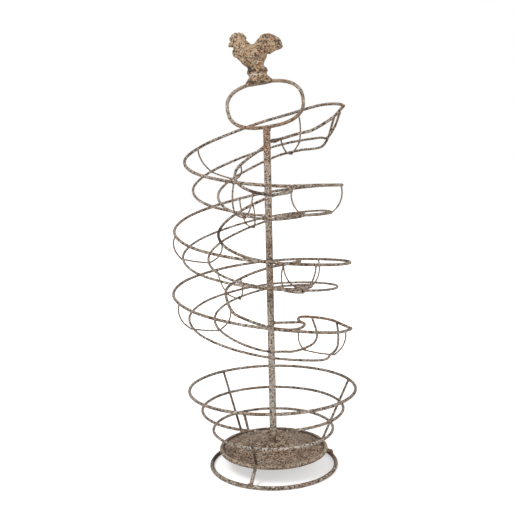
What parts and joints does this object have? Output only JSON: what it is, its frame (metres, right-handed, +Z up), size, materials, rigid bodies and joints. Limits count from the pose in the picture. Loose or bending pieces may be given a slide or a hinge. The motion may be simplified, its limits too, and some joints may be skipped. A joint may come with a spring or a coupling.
{
  "type": "egg holder",
  "caption": "Tall wire egg holder: a round basket on a foot ring, a pole with a spiral wire chute that eggs roll down, an oval carry handle and a cast rooster on top.",
  "frame": {"origin": "on the floor, under the middle of the whole outline seen from above", "axes": "+Z up along the pole, +X towards the chute's two mouths and the rooster's tail, +Y away from the side with the chute's front turns"},
  "size_m": [0.2222, 0.2206, 0.5242],
  "materials": {
    "worn_wire": "worn grey-brown coat over iron wire, with rust and pale flecks",
    "hanger_wire": "thin iron wire, worn grey-brown",
    "pole_rod": "worn iron rod, speckled with rust and pale coat",
    "tray_sheet": "domed iron sheet, finely speckled grey-brown",
    "cast_finial": "pitted tan casting with dark brown hollows"
  },
  "bodies": {
    "root": {"foot_ring": "worn_wire", "leg_1": "worn_wire", "leg_2": "worn_wire", "leg_3": "worn_wire", "tray": "tray_sheet", "basket_rim": "worn_wire", "basket_middle_ring": "worn_wire", "basket_lower_ring": "worn_wire", "basket_upright_1": "worn_wire", "basket_upright_2": "worn_wire", "basket_upright_3": "worn_wire", "centre_pole": "pole_rod", "outer_guide_rail": "worn_wire", "inner_guide_rail": "worn_wire", "outer_floor_rail": "worn_wire", "inner_floor_rail": "worn_wire", "stirrup_01": "hanger_wire", "stirrup_02": "hanger_wire", "stirrup_03": "hanger_wire", "stirrup_04": "hanger_wire", "stirrup_05": "hanger_wire", "stirrup_06": "hanger_wire", "stirrup_07": "hanger_wire", "stirrup_08": "hanger_wire", "stirrup_09": "hanger_wire", "stirrup_10": "hanger_wire", "stirrup_11": "hanger_wire", "tie_bar": "worn_wire", "carry_handle": "worn_wire", "rooster_finial": "cast_finial"}
  },
  "joints": []
}
